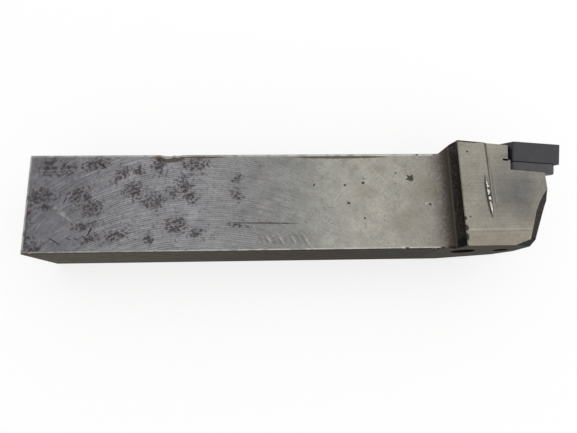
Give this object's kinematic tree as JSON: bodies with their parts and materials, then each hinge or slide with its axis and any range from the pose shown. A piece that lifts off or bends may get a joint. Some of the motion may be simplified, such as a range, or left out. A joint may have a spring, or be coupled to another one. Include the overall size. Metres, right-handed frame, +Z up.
{
  "type": "turning tool holder",
  "caption": "Left-hand turning tool holder: square-cut steel shank with an offset head, where a lever and a socket screw lock a rhombic carbide insert on its shim.",
  "frame": {"origin": "middle of the shank's back side face, halfway between the rear end and the cutting tip; that face lies on the bench", "axes": "+X along the shank to the cutting tip, +Y the tool's own up, from its base face to its top face, +Z up from the bench, to the cutting side"},
  "size_m": [0.17, 0.037, 0.032],
  "materials": {
    "holder_steel": "worn, milled and ground tool steel with rust spots",
    "coated_carbide": "smooth dark coated carbide",
    "shim_carbide": "ground carbide, dull",
    "spring_steel": "plain spring steel",
    "lever_steel": "blackened steel",
    "screw_steel": "blackened steel"
  },
  "bodies": {
    "holder": {"holder_body": "holder_steel", "shim": "shim_carbide", "shim_sleeve": "spring_steel", "cutting_insert": "coated_carbide"},
    "clamp_screw": {"clamp_screw": "screw_steel"},
    "lever": {"lever": "lever_steel"}
  },
  "joints": [
    {"name": "screw_travel", "type": "slide", "parent": "holder", "child": "clamp_screw", "axis": [0.0984, 0.9891, 0.1093], "range_m": [0, 0.00068979]},
    {"name": "lever_rock", "type": "hinge", "parent": "holder", "child": "lever", "pos_m": [0.07323, 0.00058, 0.02337], "axis": [0.1491, 0.0939, -0.9843], "range_deg": [0, 3.01]}
  ],
  "couplings": [
    {"joint": "lever_rock", "follows": "screw_travel", "rad_per_m": 75.907}
  ]
}
